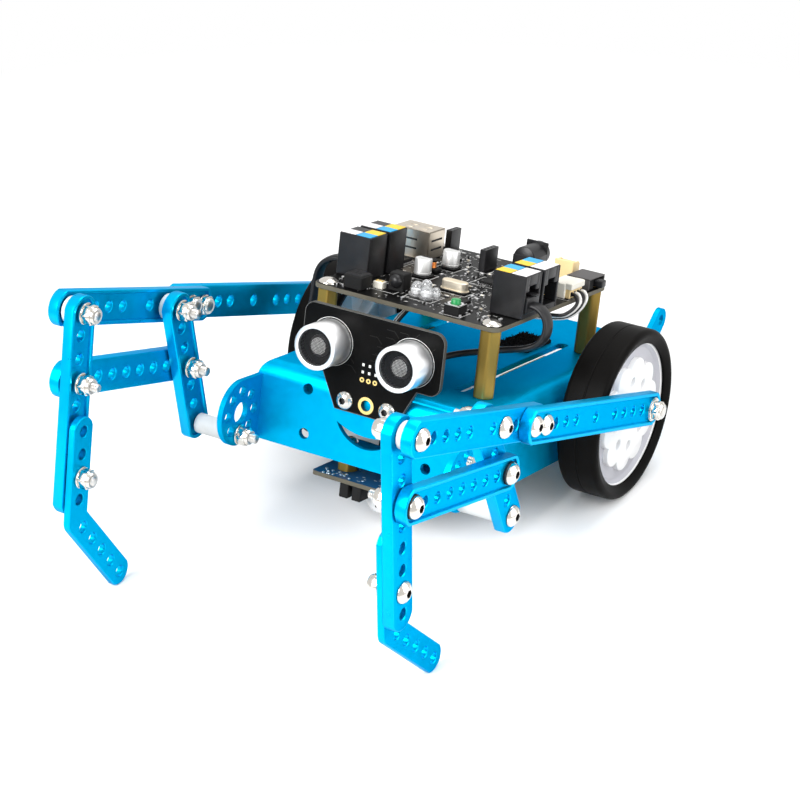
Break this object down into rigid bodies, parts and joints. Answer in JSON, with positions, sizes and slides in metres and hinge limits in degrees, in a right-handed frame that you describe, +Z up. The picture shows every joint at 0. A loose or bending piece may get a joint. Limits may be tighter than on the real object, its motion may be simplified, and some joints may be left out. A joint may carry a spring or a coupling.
{
  "type": "wheeled walking robot",
  "caption": "Wheeled robot car with a folded metal chassis, a raised circuit board, a distance sensor and crank-driven linkage legs at the front.",
  "frame": {"origin": "on the floor under the middle of the object, between its front and rear ends and its two sides", "axes": "+Z up from the floor, +Y to the rear along the length, +X to the right when looking along +Y, and the front with the legs and the sensor faces -Y"},
  "size_m": [0.1628, 0.2381, 0.1119],
  "materials": {
    "blue": "blue anodised, satin",
    "steel": "nickel-plated",
    "white": "satin moulded",
    "rubber": "matte rubber",
    "brass": "plain turned",
    "black": "moulded",
    "board": "black solder mask",
    "navy": "dark blue solder mask",
    "shell": "plated pressed shell",
    "yellow": "moulded",
    "green": "moulded",
    "alloy": "satin turned"
  },
  "bodies": {
    "chassis": {"button_body": "black", "caster_housing": "white", "chassis": "blue", "data_socket": "shell", "front_left_standoff": "brass", "front_right_standoff": "brass", "left_front_socket": "black", "left_ground_bolt": "steel", "left_line_post": "brass", "left_motor": "yellow", "left_rear_socket": "black", "left_spacer": "white", "left_transducer": "alloy", "line_lead": "black", "line_sensor": "navy", "main_board": "board", "power_jack": "black", "rear_left_standoff": "brass", "rear_right_standoff": "brass", "right_front_socket": "black", "right_ground_bolt": "steel", "right_line_post": "brass", "right_motor": "yellow", "right_rear_socket": "black", "right_spacer": "white", "right_transducer": "alloy", "sensor_board": "board", "sensor_lead": "black", "switch_body": "alloy"},
    "right_wheel": {"right_hub": "white", "right_tyre": "rubber", "right_shaft": "white"},
    "right_rocker": {"right_rocker": "blue", "right_top_bolt": "steel", "right_middle_bolt": "steel"},
    "right_upper": {"right_front_link": "blue", "right_rear_beam": "blue", "right_crank_pin": "steel"},
    "right_leg": {"right_leg": "blue", "right_foot": "blue", "right_hip_bolt": "steel", "right_knee_bolt": "steel"},
    "right_lower": {"right_lower_link": "blue"},
    "left_wheel": {"left_hub": "white", "left_tyre": "rubber", "left_shaft": "white"},
    "left_rocker": {"left_rocker": "blue", "left_top_bolt": "steel", "left_middle_bolt": "steel"},
    "left_upper": {"left_front_link": "blue", "left_rear_beam": "blue", "left_crank_pin": "steel"},
    "left_leg": {"left_leg": "blue", "left_foot": "blue", "left_hip_bolt": "steel", "left_knee_bolt": "steel"},
    "left_lower": {"left_lower_link": "blue"},
    "caster_ball": {"caster_ball": "alloy"},
    "button": {"button_cap": "green"},
    "switch": {"switch_lever": "black"}
  },
  "joints": [
    {"name": "right_wheel_spin", "type": "hinge", "parent": "chassis", "child": "right_wheel", "pos_m": [0, 0.05327, 0.032], "axis": [1, 0, 0], "continuous": true},
    {"name": "right_rocker_swing", "type": "hinge", "parent": "chassis", "child": "right_rocker", "pos_m": [0, -0.04055, 0.03768], "axis": [1, 0, 0], "range_deg": [-34, 2]},
    {"name": "right_upper_pivot", "type": "hinge", "parent": "right_rocker", "child": "right_upper", "pos_m": [0, -0.05945, 0.0818], "axis": [1, 0, 0], "range_deg": [-2, 34]},
    {"name": "right_hip_pivot", "type": "hinge", "parent": "right_upper", "child": "right_leg", "pos_m": [0, -0.11168, 0.10202], "axis": [1, 0, 0], "range_deg": [-31, 2]},
    {"name": "right_lower_pivot", "type": "hinge", "parent": "right_rocker", "child": "right_lower", "pos_m": [0, -0.05, 0.05974], "axis": [1, 0, 0], "range_deg": [-2, 30]},
    {"name": "left_wheel_spin", "type": "hinge", "parent": "chassis", "child": "left_wheel", "pos_m": [0, 0.05327, 0.032], "axis": [1, 0, 0], "continuous": true},
    {"name": "left_rocker_swing", "type": "hinge", "parent": "chassis", "child": "left_rocker", "pos_m": [0, -0.04055, 0.03768], "axis": [1, 0, 0], "range_deg": [-20, 16]},
    {"name": "left_upper_pivot", "type": "hinge", "parent": "left_rocker", "child": "left_upper", "pos_m": [0, -0.048, 0.0851], "axis": [1, 0, 0], "range_deg": [-16, 20]},
    {"name": "left_hip_pivot", "type": "hinge", "parent": "left_upper", "child": "left_leg", "pos_m": [0, -0.10012, 0.10558], "axis": [1, 0, 0], "range_deg": [-18, 15]},
    {"name": "left_lower_pivot", "type": "hinge", "parent": "left_rocker", "child": "left_lower", "pos_m": [0, -0.04428, 0.06139], "axis": [1, 0, 0], "range_deg": [-14, 18]},
    {"name": "caster_roll", "type": "hinge", "parent": "chassis", "child": "caster_ball", "pos_m": [0, -0.01105, 0.00966], "axis": [1, 0, 0], "continuous": true},
    {"name": "button_press", "type": "slide", "parent": "chassis", "child": "button", "axis": [0, -0.2042, -0.9789], "range_m": [0, 0.0006], "stiffness_N_per_m": 200},
    {"name": "switch_slide", "type": "slide", "parent": "chassis", "child": "switch", "axis": [0, 0.9789, -0.2042], "range_m": [0, 0.003]}
  ],
  "couplings": [
    {"joint": "right_upper_pivot", "follows": "right_rocker_swing", "ratio": -1},
    {"joint": "right_hip_pivot", "follows": "right_rocker_swing", "ratio": 0.89},
    {"joint": "right_lower_pivot", "follows": "right_rocker_swing", "ratio": -0.868},
    {"joint": "left_upper_pivot", "follows": "left_rocker_swing", "ratio": -1},
    {"joint": "left_hip_pivot", "follows": "left_rocker_swing", "ratio": 0.9},
    {"joint": "left_lower_pivot", "follows": "left_rocker_swing", "ratio": -0.872}
  ]
}
